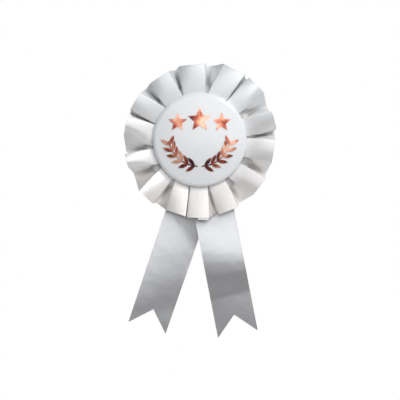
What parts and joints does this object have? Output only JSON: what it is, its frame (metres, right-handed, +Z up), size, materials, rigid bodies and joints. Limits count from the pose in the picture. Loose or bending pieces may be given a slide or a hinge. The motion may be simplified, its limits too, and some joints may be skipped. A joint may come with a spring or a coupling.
{
  "type": "award ribbon",
  "caption": "White satin award rosette with a button badge in its middle, swallowtail ribbon ends and a bar pin behind.",
  "frame": {"origin": "middle of the brooch pin's stem, where the pin goes through the cloth it hangs on", "axes": "+X to the wearer's left (the viewer's right), +Y back towards the wearer, +Z up; the face looks along -Y"},
  "size_m": [0.0945, 0.0199, 0.1687],
  "materials": {
    "satin": "white satin ribbon with a fine ribbed weave and a soft sheen",
    "film": "clear gloss film lying flat on white paper, so it reads as glossy white",
    "paper": "matt white",
    "tinplate": "bright tinplate",
    "foil": "rose-gold hot foil, mirror-like with darker and lighter areas",
    "foam": "white closed-cell foam",
    "thread": "white sewing thread",
    "card": "uncoated white card",
    "tape": "double-sided tape",
    "nickel": "nickel-plated steel"
  },
  "bodies": {
    "rosette": {"rosette_pleats": "satin", "tail_left_top": "satin", "tail_right_top": "satin", "badge_film": "film", "badge_print": "paper", "badge_shell": "tinplate", "badge_back": "tinplate", "foil_star_left": "foil", "foil_star_centre": "foil", "foil_star_right": "foil", "foil_laurel_left": "foil", "foil_laurel_right": "foil", "badge_pad": "foam", "pin_tape": "foam", "gathering_thread": "thread", "base_disc": "card", "backing_disc": "card", "tail_tape": "tape", "pin_bar": "nickel", "pin_rivet": "nickel"},
    "pin_stem": {"pin_stem": "nickel"},
    "safety_catch": {"safety_catch": "nickel"},
    "tail_left": {"tail_left": "satin"},
    "tail_right": {"tail_right": "satin"}
  },
  "joints": [
    {"name": "pin_swing", "type": "hinge", "parent": "rosette", "child": "pin_stem", "pos_m": [-0.0135, 0, 0], "axis": [0, 0, 1], "range_deg": [0, 75]},
    {"name": "catch_turn", "type": "hinge", "parent": "rosette", "child": "safety_catch", "pos_m": [0.0135, 0, 0], "axis": [1, 0, 0], "range_deg": [0, 150]},
    {"name": "tail_left_swing", "type": "hinge", "parent": "rosette", "child": "tail_left", "pos_m": [-0.01283, -0.00907, -0.06623], "axis": [-0.9466, 0, 0.3223], "range_deg": [-45, 70]},
    {"name": "tail_right_swing", "type": "hinge", "parent": "rosette", "child": "tail_right", "pos_m": [0.0119, -0.01004, -0.06791], "axis": [-0.9816, 0, -0.1908], "range_deg": [-45, 70]}
  ]
}
